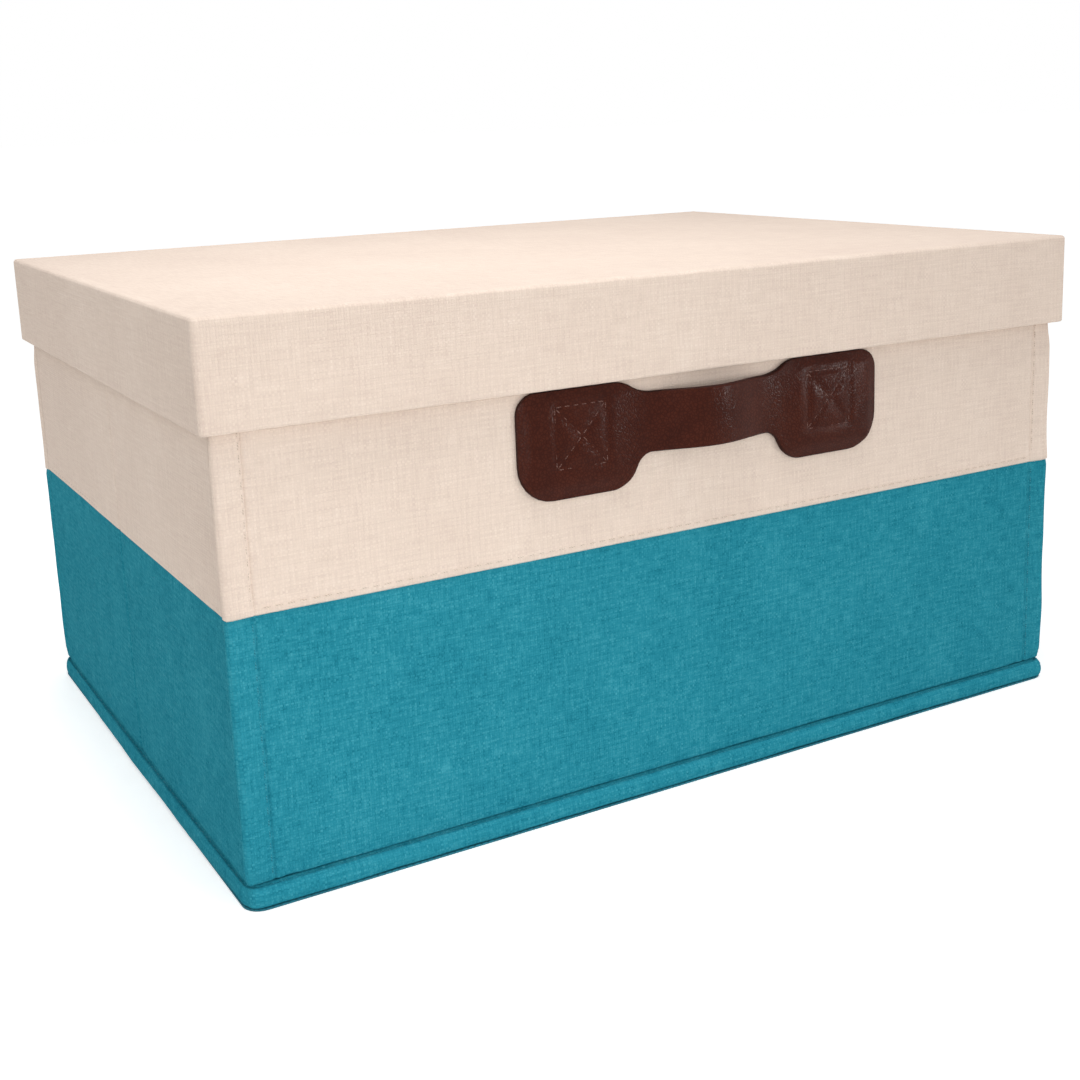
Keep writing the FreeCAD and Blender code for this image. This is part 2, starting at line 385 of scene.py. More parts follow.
# the same weave of heather yarn: dull, mottled from close by, with pale flecks. Drawn coarser as well
tealLinen = wovenCloth({
    "name": "tealHeatherWeave", "threadPitch": 0.95 * mm, "yarnWidth": 1.2 * mm, "slubLength": 6 * mm,
    "cloud": 24 * mm, "streakShare": 0.8, "hollowShade": 0.86, "bump": 0.4, "sheen": 0.0, "specular": 0.02,
    "stops": [(0.30, "#1d798d"), (0.45, "#288a9e"), (0.55, "#3093a6"), (0.72, "#44a2b4")],
})


def bondedCloth(look):
    # non-woven polypropylene: pressed fibres held by rows of small heat-sealed dots
    material, tree, shader = newMaterial(look["name"])
    place = addNode(tree, "TexCoord").outputs["UV"]
    perDot = 1 / look["dotPitch"]
    turned = addNode(tree, "Mapping", inputs={"Vector": place, "Rotation": (0, 0, math.radians(45)),
                                              "Scale": (perDot, perDot, 1.0)})
    dots = addNode(tree, "TexVoronoi", {"voronoi_dimensions": "2D"},
                   {"Vector": turned, "Scale": 1.0, "Randomness": 0.0})
    dent = addNode(tree, "MapRange", {"interpolation_type": "SMOOTHSTEP"},
                   {0: dots.outputs["Distance"], 1: 0.16, 2: 0.34, 3: 0.0, 4: 1.0})
    spun = addNode(tree, "Mapping", inputs={"Vector": place, "Scale": (1 / (0.5 * mm), 1 / (2.4 * mm), 1.0)})
    fibre = addNode(tree, "TexNoise", {"noise_dimensions": "2D"},
                    {"Vector": spun, "Scale": 1.0, "Detail": 4.0, "Distortion": 0.8})
    blotch = addNode(tree, "Mapping", inputs={"Vector": place, "Scale": (1 / (22 * mm), 1 / (22 * mm), 1.0)})
    clumps = addNode(tree, "TexNoise", {"noise_dimensions": "2D"},
                     {"Vector": blotch, "Scale": 1.0, "Detail": 3.0})
    tone = addNode(tree, "Mix", inputs={0: 0.45, 2: fibre, 3: clumps})
    ramp = addNode(tree, "ValToRGB", inputs={0: tone})
    setStops(ramp, look["stops"])
    sealed = addNode(tree, "Mix", {"data_type": "RGBA", "blend_type": "MIX"},
                     {0: dent, 6: fromHex(look["dot"]), 7: ramp})
    height = addNode(tree, "Math", {"operation": "MULTIPLY_ADD"},
                     {0: fibre, 1: 0.35, 2: dent})
    bump = addNode(tree, "Bump", inputs={"Strength": 0.3, "Distance": 0.12 * mm, "Height": height})
    setInputs(tree, shader, {"Base Color": sealed.outputs[2], "Normal": bump,
                             "Roughness": 0.78, "Specular IOR Level": 0.3})
    return material


# heat-bonded polypropylene: a plain inside with a fine pressed dot, a little shinier than the weave
creamLining = bondedCloth({"name": "creamBondedLining", "dotPitch": 1.9 * mm, "dot": "#ded0c2",
                           "stops": [(0.32, "#e3d6c9"), (0.5, "#ece1d5"), (0.7, "#f3eae0")]})
# the same cloth dyed through: a flat, dark underside
tealBonded = bondedCloth({"name": "tealBondedFloor", "dotPitch": 1.9 * mm, "dot": "#1b6170",
                          "stops": [(0.32, "#1c6675"), (0.5, "#227587"), (0.7, "#2c8798")]})


def grainedLeather(look):
    # split leather with a printed grain: pebbles between fine creases, rubbed smoother here and there
    material, tree, shader = newMaterial(look["name"])
    place = addNode(tree, "TexCoord").outputs["Object"]
    wander = addNode(tree, "TexNoise", inputs={"Vector": place, "Scale": 1 / (5 * mm), "Detail": 2.0})
    bent = addNode(tree, "Mix", {"data_type": "VECTOR"}, {0: 0.0012, 4: place, 5: wander.outputs["Color"]})
    pebbles = addNode(tree, "TexVoronoi", {"feature": "DISTANCE_TO_EDGE"},
                      {"Vector": bent.outputs[1], "Scale": 1 / look["grain"]})
    pebble = addNode(tree, "MapRange", {"interpolation_type": "SMOOTHSTEP"},
                     {0: pebbles.outputs["Distance"], 1: 0.0, 2: 0.22, 3: 0.0, 4: 1.0})
    rub = addNode(tree, "TexNoise", inputs={"Vector": place, "Scale": 1 / (16 * mm), "Detail": 5.0,
                                            "Roughness": 0.6})
    tone = addNode(tree, "Mix", inputs={0: 0.3, 2: rub, 3: pebble})
    ramp = addNode(tree, "ValToRGB", inputs={0: tone})
    setStops(ramp, look["stops"])
    rough = addNode(tree, "MapRange", inputs={0: rub, 1: 0.3, 2: 0.7,
                                              3: look["rough"][0], 4: look["rough"][1]})
    bump = addNode(tree, "Bump", inputs={"Strength": look["bump"], "Distance": 0.18 * mm,
                                         "Height": pebble})
    setInputs(tree, shader, {"Base Color": ramp, "Roughness": rough,
                             "Normal": bump, "Specular IOR Level": 0.08})
    return material


# grained split leather: a dark satin hide of small pebbles, with a soft shine where it bends
brownLeather = grainedLeather({"name": "brownGrainedLeather", "grain": 1.3 * mm, "bump": 0.22,
                               "rough": (0.16, 0.26),
                               "stops": [(0.25, "#37150d"), (0.5, "#401a10"), (0.75, "#4c2216")]})
# acrylic edge paint on the cut leather: darker, smoother and duller than its face
edgePaint = grainedLeather({"name": "brownEdgePaint", "grain": 0.9 * mm, "bump": 0.12,
                            "rough": (0.5, 0.6),
                            "stops": [(0.25, "#2a1310"), (0.5, "#341a15"), (0.75, "#40231c")]})


def spunThread(name, pale, dark):
    # polyester sewing thread: two plies twisted together, with a slight shine. The grooves between the plies are
    # painted darker, as painted shade
    material, tree, shader = newMaterial(name)
    place = addNode(tree, "TexCoord").outputs["Object"]
    ply = addNode(tree, "TexWave", {"bands_direction": "DIAGONAL"},
                  {"Vector": place, "Scale": 0.314 / (0.5 * mm), "Distortion": 1.5, "Detail": 1.0})
    ramp = addNode(tree, "ValToRGB", inputs={0: ply.outputs["Fac"]})
    # painted shade: the dark colour follows the grooves between the plies, and the pale one their crowns
    setStops(ramp, [(0.2, dark), (0.8, pale)])
    bump = addNode(tree, "Bump", inputs={"Strength": 0.3, "Distance": 0.06 * mm,
                                         "Height": ply.outputs["Fac"]})
    setInputs(tree, shader, {"Base Color": ramp, "Normal": bump,
                             "Roughness": 0.6, "Specular IOR Level": 0.2})
    return material


# twisted polyester thread: fine stitches that take the colour of the cloth, and paler ones on the leather
creamThread = spunThread("creamSewingThread", "#e9d8ca", "#cdb9a8")
tealThread = spunThread("tealSewingThread", "#3d9eb0", "#1d6f80")
brownThread = spunThread("brownSewingThread", "#7d5b52", "#4a2c25")


def pressedBoard(name, stops, fibreLength):
    # pressed fibres and specks, which lie along the piece's length
    material, tree, shader = newMaterial(name)
    place = addNode(tree, "TexCoord").outputs["Object"]
    mapping = addNode(tree, "Mapping", inputs={"Vector": place,
                                               "Scale": (1 / fibreLength, 1 / (0.6 * mm), 1 / (0.6 * mm))})
    fibres = addNode(tree, "TexNoise", inputs={"Vector": mapping, "Scale": 1.0, "Detail": 5.0,
                                               "Distortion": 0.6})
    specks = addNode(tree, "TexVoronoi", inputs={"Vector": place, "Scale": 1 / (7 * mm)})
    tone = addNode(tree, "Mix", inputs={0: 0.25, 2: fibres, 3: specks.outputs["Distance"]})
    ramp = addNode(tree, "ValToRGB", inputs={0: tone})
    setStops(ramp, stops)
    bump = addNode(tree, "Bump", inputs={"Strength": 0.3, "Distance": 0.08 * mm, "Height": fibres})
    setInputs(tree, shader, {"Base Color": ramp, "Normal": bump, "Roughness": 0.9})
    return material


# board pressed from waste paper: dull grey-brown with long fibres. Felt pressed from polyester: dull
# and nearly white, with short ones. Cloth folded four times: matt, between the two colours it is cut from
greyBoard = pressedBoard("greyPressedBoard", [(0.3, "#8d7d6c"), (0.5, "#a08f7d"), (0.7, "#b2a290")], 6 * mm)
stiffFelt = pressedBoard("whiteStiffFelt", [(0.3, "#c9c4ba"), (0.5, "#d6d2c8"), (0.7, "#e2dfd7")], 2 * mm)
seamFolds = pressedBoard("foldedSeamCloth", [(0.3, "#8fa9aa"), (0.5, "#a3b6b5"), (0.7, "#c2ccc8")], 3 * mm)

for nodeName, node in nodes.items():
    inside = greyBoard
    if nodeName.endswith("patches"):
        inside = stiffFelt
    elif nodeName.endswith("corner_seam"):
        inside = seamFolds
    node.data.materials.clear()
    node.data.materials.append(inside)
print("storage box: materials made")


# walls: the heights at which their cloths fold, in mm
wallMm = {key: box[key] / mm for key in ("rim", "colourLine", "foot", "liningTop", "wall")}
seam = {
    "depth": 0.42 * mm,  # how far the stitching beside each upright corner draws the cloth in
    "hollow": 0.30 * mm,
    "lap": 0.35 * mm,  # the strip's edge lies this far below the wall's edge, and this much under it
    "pucker": 0.12 * mm,
    "puckerPitch": 6.0 * mm,
    "proud": 0.34 * mm,  # cream cloth's folded lower edge, over the teal
    "shortProud": 0.05 * mm,  # less on the short walls, whose halves fold face to face
}


def creamRows(step):
    w = wallMm
    return foldLine([(0.4, w["colourLine"], 0), (0, w["colourLine"] + 0.5, 0.3), (0, w["rim"], 1.45),
                     (w["wall"], w["rim"], 1.45), (w["wall"], w["liningTop"], 0)], step)


def tealRows(step):
    w = wallMm
    return foldLine([(w["wall"], w["foot"], 0), (0, w["foot"], 1.0), (0, w["colourLine"] - 2.2, 2.0),
                     (0.35, w["colourLine"] - 0.2, 0.3), (0.8, w["colourLine"] + 1.2, 0)], step)


def liningRows(step):
    w = wallMm
    return foldLine([(w["wall"] - 0.35, w["liningTop"] + 0.05, 0), (w["wall"], w["liningTop"] - 0.6, 0.5),
                     (w["wall"], w["foot"] + 0.9, 0.25), (w["wall"] - 0.4, w["foot"] + 0.6, 0)], step)


def outerCloths(step):
    # rows, material, slot (which also ends the node's name) and thickness
    return {"cream": (creamRows(step), creamLinen, "upper_cloth", box["weave"]),
            "teal": (tealRows(step), tealLinen, "lower_cloth", box["weave"])}


liningCloth = (liningRows(3.2), creamLining, "lining_cloth", box["lining"])


def layWallCloth(name, columns, cloth, shape, replaced, body=None):
    rows, material, slotName, thickness = cloth
    piece = layCloth(name, columns, rows, shape, material, thickness)
    fit(piece, body, replaced)
    return piece


def seamPull(distance, along, seamAt):
    # what the line of stitching there does to the cloth beside it
    distance = abs(distance)
    wobble = 4.5 * noise.noise(Vector((along / (18 * mm), seamAt * 37, 0.5)))
    ripple = math.sin(2 * math.pi * along / seam["puckerPitch"] + wobble)
    calm = 1 - 0.6 * fade(along - box["colourLine"], 3 * mm)
    pucker = seam["pucker"] * ripple * fade(distance, 5 * mm) * (1 - fade(distance, 1.0 * mm))
    return pucker - seam["depth"] * fade(distance, 0.8 * mm) * calm


def overlap(height, proud):
    # the step where the cream laps over the teal
    fromLine = height - box["colourLine"]
    return proud * fade(fromLine - 1 * mm, 5 * mm) * (fromLine >= 0)


longWall = {"swell": 0.30 * mm, "swellSize": 48 * mm, "stillEdge": 14 * mm, "ripplePitch": 7 * mm}


def longWallShape(middle, seed):
    def shape(run, depth, height):
        place = run - middle
        inner = depth > box["inner"]
        swell = longWall["swell"] * 0.5 if inner else longWall["swell"]
        fromSeam = seamPlace - abs(place)
        fromLine = height - box["colourLine"]
        edge = held(fromSeam / longWall["stillEdge"])
        lift = unevenness(run, height, seed, longWall["swellSize"], swell) * edge
        calm = 1 - 0.8 * fade(fromLine, 4 * mm)  # less where the two colours overlap
        lift -= seam["hollow"] * fade(fromSeam - 5 * mm, 3 * mm) * calm
        lift += seamPull(fromSeam, height, (middle + math.copysign(seamPlace, place)) % lapLength)
        if not inner:
            ripple = math.sin(2 * math.pi * run / longWall["ripplePitch"]) * fade(fromLine, 5 * mm)
            lift += overlap(height, seam["proud"]) + 0.5 * seam["pucker"] * ripple * edge
        return lift
    return shape


def layLongWall(side, body, seed):
    middle = lap[side]
    fine = [(middle + end * seamPlace, 2.5 * mm, 0.4 * mm) for end in (-1, 1)]
    columns = spread(middle - seamPlace, middle + seamPlace, box["step"], fine)
    for colour, cloth in outerCloths(2.6).items():
        layWallCloth(f"{side}_{colour}_cloth", columns, cloth, longWallShape(middle, seed),
                     [f"{side}_{cloth[2]}"], body)
    innerHalf = box["halfLength"] - box["wall"] - 0.1 * mm

    def liningShape(run, depth, height):
        edge = min((innerHalf - abs(run - middle)) / (15 * mm), (box["liningTop"] - height) / (12 * mm))
        return unevenness(run, height, seed + 20, 36 * mm, 0.25 * mm) * held(edge)

    columns = spread(middle - innerHalf, middle + innerHalf, 3.4 * mm)
    layWallCloth(f"{side}_lining_cloth", columns, liningCloth, liningShape,
                 [f"{side}_lining"], body)


layLongWall("front", "base_and_front", 1.0)
layLongWall("back", "back", 9.0)
print("storage box: long walls covered")

# corner strips: cloth that bends round each upright corner between two walls
cornerStrip = {
    "swell": 1.1 * mm,
    "spare": 0.8 * mm,  # cloth that the swell takes up across the strip
    "swellTop": 163 * mm,  # the lid presses the corner flat above this
    "bulge": 0.32 * mm,  # roundness of the strip between its seam and the corner
    "tucked": 0.6 * mm,  # how far the strip goes under the wall's cloth
}


def stripShape(seamAt, seed):
    # the strip swells between its seam and just round the corner, because cloth is folded inside it
    def shape(run, depth, height):
        place = min(abs(run - middle) for middle in (0.0, lap["back"], -lap["back"]))
        fromSeam = place - seamPlace
        lift = seamPull(fromSeam, height, seamAt % lapLength) - seam["lap"] * easeIn(-fromSeam / (0.3 * mm))
        if depth > box["inner"]:
            return lift
        free = easeIn((cornerStrip["swellTop"] - height) / (12 * mm))
        free *= easeIn((height - box["foot"]) / (6 * mm))
        pastCorner = (place - box["halfLength"]) / (box["roundCorner"] - 0.2 * mm)
        swell = easeIn(fromSeam / box["strip"]) * easeIn(1 - pastCorner)
        wander = 1 + 0.4 * noise.noise(Vector((height / (22 * mm), seed, 4.0)))
        lift += cornerStrip["swell"] * free * swell * wander
        if place >= box["halfLength"]:
            return lift + overlap(height, seam["shortProud"])
        lift += cornerStrip["bulge"] * math.sin(math.pi * held(fromSeam / box["strip"])) * free
        lift += unevenness(run * 3, height, seed, 26 * mm, 0.10 * mm) * easeIn(fromSeam / (3 * mm))
        return lift + overlap(height, seam["proud"])
    return shape


for y, wall, body, part in ((-1, "front", "base_and_front", "front"), (1, "back", "back", "rear")):
    for x, side in ((-1, "left"), (1, "right")):
        corner = x * (box["halfLength"] + (y + 1) * box["halfDepth"])
        toShort = -x * y  # which way round the short wall lies
        onLong = corner - toShort * box["strip"]
        onShort = corner + toShort * box["roundCorner"]
        start, end = sorted((onLong - toShort * cornerStrip["tucked"], onShort))
        columns = spread(start, end, 1.6 * mm, [(corner, 1.8 * mm, 0.28 * mm), (onLong, 1.5 * mm, 0.3 * mm)])
        seed = 31.0 + x * 2 + y * 5
        for colour, (rows, cloth, slotName, thickness) in outerCloths(2.0).items():
            piece = layCloth(f"{wall}_{side}_{colour}_strip", columns, rows, stripShape(onLong, seed),
                             cloth, thickness)
            fit(piece)
            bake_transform(piece)
print("storage box: corner strips sewn on")

# short walls, which fold inwards at the crease in their middle
shortWall = {
    "outerReach": box["halfDepth"] - box["roundCorner"],  # from the crease to the cloth's ends
    "innerReach": box["halfDepth"] - box["wall"] - 0.1 * mm,
    "swell": 0.22 * mm, "stillEdge": 12 * mm,
    "creaseDepth": 0.5 * mm, "creaseReach": 1.3 * mm, "liningCrease": 0.25 * mm,
    "dent": 0.16 * mm, "dentPitch": 9 * mm,  # dents along both sides of the crease
}


def shortWallShape(middle, seed):
    def shape(run, depth, height):
        place = abs(run - middle)
        edge = held((shortWall["outerReach"] - place) / shortWall["stillEdge"])
        lift = unevenness(run, height, seed, 42 * mm, shortWall["swell"]) * edge
        if depth > box["inner"]:
            return lift - shortWall["liningCrease"] * fade(place, 1.0 * mm)
        lift = min(lift, 0.04 * mm) - shortWall["creaseDepth"] * fade(place, shortWall["creaseReach"])
        dents = 0.5 + 0.5 * math.sin(2 * math.pi * height / shortWall["dentPitch"] + seed)
        lift -= shortWall["dent"] * fade(place - 4 * mm, 3 * mm) * dents
        return lift + overlap(height, seam["shortProud"])
    return shape


def shortLiningShape(middle, seed):
    def shape(run, depth, height):
        place = abs(run - middle)
        edge = min(shortWall["innerReach"] - place, box["liningTop"] - height) / shortWall["stillEdge"]
        lift = unevenness(run, height, seed, 36 * mm, shortWall["swell"]) * held(edge)
        return lift - 0.3 * mm * fade(place, 1.2 * mm)
    return shape


def bendAtCrease(piece):
    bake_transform(piece)


# left wall: one cloth over both halves, grooved along the crease
middle = lap["left"]
outer, inner = shortWall["outerReach"], shortWall["innerReach"]
columns = spread(middle - outer, middle + outer, box["step"], [(middle, 2 * mm, 0.3 * mm)])
for colour, cloth in outerCloths(2.6).items():
    piece = layWallCloth(f"left_{colour}_cloth", columns, cloth, shortWallShape(middle, 15.0),
                         [f"left_front_{cloth[2]}", f"left_rear_{cloth[2]}"])
    bendAtCrease(piece)
columns = spread(middle - inner, middle + inner, 3.4 * mm, [(middle, 2.5 * mm, 0.4 * mm)])
piece = layWallCloth("left_lining_cloth", columns, liningCloth, shortLiningShape(middle, 44.0),
                     ["left_front_lining", "left_rear_lining"])
bendAtCrease(piece)

# right wall: one cloth a half, because the frame's loop is opened at this crease
middle = lap["right"]
for half, way in (("right_front", -1), ("right_rear", 1)):
    start, end = sorted((middle, middle + way * outer))
    columns = spread(start, end, box["step"], [(middle, 2 * mm, 0.3 * mm)])
    for colour, cloth in outerCloths(2.6).items():
        layWallCloth(f"{half}_{colour}_cloth", columns, cloth, shortWallShape(middle, 17.0),
                     [f"{half}_{cloth[2]}"], half)
    start, end = sorted((middle, middle + way * inner))
    columns = spread(start, end, 3.4 * mm, [(middle, 2.5 * mm, 0.5 * mm)])
    layWallCloth(f"{half}_lining_cloth", columns, liningCloth, shortLiningShape(middle, 47.0),
                 [f"{half}_lining"], half)
print("storage box: short walls covered")


# hem: a stuffed roll round the foot
hem = {
    "outline": (box["halfLength"], box["halfDepth"], 4.6 * mm),
    # (depth, height, bend) in mm, with a groove for the stitching over the roll
    "section": [(3.1, 0.9, 0.4), (-2.9, 0.9, 1.3), (-3.55, 3.6, 2.6), (-3.0, 6.5, 1.6), (-1.7, 7.8, 1.0),
                (-0.5, 7.6, 0.6), (0.1, 7.2, 0.4), (0.9, 8.0, 0.4), (3.1, 8.0, 0.3)],
    "stitchPitch": 4.2 * mm,
    "stitchDraw": 0.13 * mm,
    "flatter": 0.5,  # share of the roll's reach that is lost near the corners of the short sides
}


def hemShape(run, depth, height):
    # the stuffing is uneven, and every stitch along the groove draws the roll in
    lift = 0.28 * mm * noise.noise(Vector((run / (26 * mm), 3.7, 0.0)))
    lift += 0.12 * mm * noise.noise(Vector((run / (9 * mm), height / (4 * mm), 1.0)))
    stitch = 0.5 + 0.5 * math.cos(2 * math.pi * run / hem["stitchPitch"])
    lift -= hem["stitchDraw"] * stitch * held((height - 3.5 * mm) / (3 * mm))
    even = easeIn((lapLength / 2 - abs(run)) / (12 * mm))  # the hem's two ends meet behind
    return lift * even * held(-depth / (2 * mm))


def hemReach(run):
    # the roll is flatter on the short sides, most of all near the corners
    fromMiddle = min(abs(run - lap["left"]), abs(run - lap["right"])) / box["halfDepth"]
    return 1 - hem["flatter"] * (0.35 + 0.65 * fromMiddle ** 2) * easeIn((1.02 - fromMiddle) / 0.04)


seamStart = hem["section"][0][:2] + (0,)  # the strip of cloth is closed to a tube there
hemRoll = layCloth("hem_roll", ringColumns(hem["outline"], 1.5 * mm, 6 * mm, 0.7 * mm),
                   foldLine([seamStart] + hem["section"][1:] + [seamStart], 0.9), hemShape, tealLinen, 0,
                   hem["outline"], ring=True, reach=hemReach)
fit(hemRoll, "base_and_front", ["hem_band"])

# floor cloth: one layer under the box, with its edge folded up into the hem
floorSheet = {"outline": (box["halfLength"] + 1.6 * mm, box["halfDepth"] + 3.2 * mm, 7.0 * mm),
              "fold": [(14.0, 0.0, 0), (0.0, 0.0, 0.38), (0.0, 0.8, 0.38), (3.0, 0.8, 0)],
              "edge": 6 * mm}
floorPanel = {"end": False, "up": -1, "step": 8 * mm,
              "lift": lambda x, y: abs(unevenness(x, y, 61.0, 40 * mm, 0.2 * mm))}
halfFloor = floorSheet["outline"]
floorCloth = layCloth("floor_sheet", ringColumns(halfFloor, 4 * mm, 9 * mm, 1.2 * mm),
                      foldLine(floorSheet["fold"], 3.0), flatShape, tealBonded, box["thin"], halfFloor,
                      ring=True, panel=floorPanel)
fit(floorCloth, "base_and_front", ["floor_cloth"])

# base board's cover: cloth glued round the loose board and turned in underneath
coverLow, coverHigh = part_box("base_board_cover")
baseCover = {"outline": (coverHigh.x, coverHigh.y, 3.0 * mm), "turnIn": 16.0,
             "low": coverLow.z / mm, "high": coverHigh.z / mm, "wrap": 38 * mm}
coverRows = foldLine([(baseCover["turnIn"], baseCover["low"], 0), (0, baseCover["low"], 0.8),
                      (0, baseCover["high"], 0.9), (5.0, baseCover["high"], 0)], 3.2)
coverPanel = {"end": True, "up": 1, "step": 6 * mm,
              "lift": lambda x, y: unevenness(x, y, 73.0, 46 * mm, 0.35 * mm)}
halfCover = baseCover["outline"]


def coverShape(run, depth, height):
    return unevenness(run, depth * 3, 71.0, 30 * mm, 0.12 * mm) * (depth < 4 * mm)


baseCloth = layCloth("base_cover_cloth", ringColumns(halfCover, 4 * mm, 4 * mm, 0.6 * mm), coverRows,
                     coverShape, creamLining, box["lining"], halfCover, ring=True, panel=coverPanel)
fit(baseCloth, "base_and_front", ["base_board_cover"])
print("storage box: hem, floor and base board covered")


# lid: cloth over five boards, turned in at the skirt's lower edge. Its two ends meet at a back corner
lidLow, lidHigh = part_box("lid_cover")
lid = {
    "outline": (lidHigh.x, lidHigh.y, 2.0 * mm),
    "foot": lidLow.z / mm, "top": lidHigh.z / mm,
    "wall": 2.5, "turnIn": 10.0, "topBend": 1.5, "footBend": 0.9,
    "swell": 0.38 * mm, "ripple": 0.10 * mm, "ripplePitch": 8 * mm,
    "sag": 0.5 * mm,  # how far the top's middle hangs
}
halfLid = lid["outline"]
lidCorners = ringCorners(halfLid) + [3 * halfLid[0] + 2 * halfLid[1]]


def lidColumns(step, reach, fineStep):
    return spread(lidCorners[0], lidCorners[-1], step, [(corner, reach, fineStep) for corner in lidCorners])


def lidShape(run, depth, height):
    fromCorner = held(min(abs(run - corner) for corner in lidCorners) / (10 * mm))
    fromEdge = min(height / mm - lid["foot"], lid["top"] - height / mm) * mm
    lift = unevenness(run, height, 83.0, 58 * mm, lid["swell"]) * fromCorner * held(fromEdge / (8 * mm))
    if depth < 1 * mm:
        wobble = 4 * noise.noise(Vector((run / (30 * mm), 0, 2.0)))
        ripple = math.sin(2 * math.pi * run / lid["ripplePitch"] + wobble)
        lift += lid["ripple"] * ripple * fromCorner * fade(fromEdge - 2 * mm, 2 * mm)
    return lift


def lidTopLift(x, y):
    sag = lid["sag"] * (1 - (x / halfLid[0]) ** 2) * (1 - (y / halfLid[1]) ** 2)
    return unevenness(x, y, 87.0, 70 * mm, 0.32 * mm) - sag


lidFold = foldLine([(lid["wall"], lid["foot"] + lid["turnIn"], 0), (lid["wall"], lid["foot"], 0.9),
                    (0, lid["foot"], lid["footBend"]), (0, lid["top"], lid["topBend"]),
                    (5.0, lid["top"], 0)], 2.6)
lidPanel = {"end": True, "up": 1, "step": 4.4 * mm, "lift": lidTopLift}
lidCloth = layCloth("lid_cover_cloth", lidColumns(2.6 * mm, 2.4 * mm, 0.35 * mm), lidFold, lidShape,
                    creamLinen, box["weave"], halfLid, ring=True, panel=lidPanel)
fit(lidCloth, "lid", ["lid_cover"])

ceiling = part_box("lid_lining")[1].z / mm - 0.4
liningPanel = {"end": False, "up": -1, "step": 7 * mm,
               "lift": lambda x, y: -abs(unevenness(x, y, 91.0, 50 * mm, 0.125 * mm))}
liningFold = foldLine([(8.0, ceiling, 0), (lid["wall"], ceiling, 0.7),
                       (lid["wall"], lid["foot"] + lid["turnIn"] + 0.1, 0)], 3.2)
lidLining = layCloth("lid_lining_cloth", lidColumns(4 * mm, 4 * mm, 0.8 * mm), liningFold,
                     flatShape, creamLining, box["thin"], halfLid, ring=True, panel=liningPanel)
fit(lidLining, "lid", ["lid_lining"])
print("storage box: lid covered")


# leather handles: a dumbbell cut from one strap, flat on its two pads and bowed away between them
handleLow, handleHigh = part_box("front_handle")
strap = {
    "middle": (handleLow.x + handleHigh.x) / 2,
    "end": (handleHigh.x - handleLow.x) / 2,
    "padTop": handleHigh.z, "padBottom": handleLow.z,
    "strapTop": handleHigh.z - 4.9 * mm, "strapBottom": handleHigh.z - 27.7 * mm,
    "neck": 30 * mm, "padTopStart": 38 * mm, "padBottomStart": 36.5 * mm,
    "leather": 2.4 * mm, "bow": 6.0 * mm,
    "outerTop": 8 * mm, "outerBottom": 14 * mm,  # radii of the outline's corners
    "innerTop": 3.5 * mm, "innerBottom": 6.5 * mm, "neckBend": 4 * mm,
    "edgeRound": 0.8 * mm,
    "boxes": (46 * mm, 67 * mm, -8.5 * mm, 14.0 * mm),  # sewn box: its ends in x, and in z about the middle
    "dome": 1.4 * mm, "domeMiddle": 57 * mm, "domeReach": 25 * mm,  # the pads' puffed middles
    "roll": 1.0 * mm, "rollReach": 6 * mm,  # the pads roll down towards their edges
    "strapSwell": 0.35 * mm, "strapHalf": 11.4 * mm,
    "dent": 0.55 * mm, "dentReach": 1.1 * mm,  # the stitching sinks into the leather
}
padMiddle = (strap["padTop"] + strap["padBottom"]) / 2


def handlePlace(x, z, out):
    neck = strap["neck"]
    if abs(x) >= neck:
        return Vector((x, out, z))
    turn = math.pi * x / neck
    lift = strap["bow"] * 0.5 * (1 + math.cos(turn))
    tilt = math.atan(-strap["bow"] * 0.5 * math.pi / neck * math.sin(turn))
    return Vector((x - out * math.sin(tilt), lift + out * math.cos(tilt), z))


def padDome(x, z):
    # x from the handle's middle and z from the pad's
    across = z / (strap["padTop"] - padMiddle)
    along = (abs(x) - strap["domeMiddle"]) / strap["domeReach"]
    return strap["dome"] * max(0.0, 1 - across ** 2) * max(0.0, 1 - along ** 2)


def boxDistance(x, z):
    # how far a place on a pad is from its sewn box or the cross inside it
    low, high, bottom, top = strap["boxes"]
    x, z = abs(x), z - padMiddle
    if max(low - x, x - high, bottom - z, z - top) > 0:
        return math.hypot(max(low - x, 0, x - high), max(bottom - z, 0, z - top))
    length = math.hypot(high - low, top - bottom)
    crossOne = abs((x - low) * (top - bottom) - (z - bottom) * (high - low)) / length
    crossTwo = abs((x - low) * (top - bottom) + (z - top) * (high - low)) / length
    return min(x - low, high - x, z - bottom, top - z, crossOne, crossTwo)


def leatherSwell(x, z):
    # how far the outer face stands off flat leather
    s = strap
    inPad = held((abs(x) - s["neck"]) / (12 * mm))
    acrossStrap = (z - (s["strapTop"] + s["strapBottom"]) / 2) / s["strapHalf"]
    fromRim = min(s["end"] - abs(x), s["padTop"] - z, z - s["padBottom"])
    swell = padDome(x, z - padMiddle) * inPad
    swell += s["strapSwell"] * (1 - inPad) * max(0.0, 1 - acrossStrap ** 2)
    swell -= s["roll"] * inPad * (1 - easeIn(fromRim / s["rollReach"]))
    if abs(x) > 42 * mm:
        swell -= s["dent"] * fade(boxDistance(x, z), s["dentReach"])
    return swell + unevenness(x, z, 101.0, 14 * mm, 0.10 * mm)


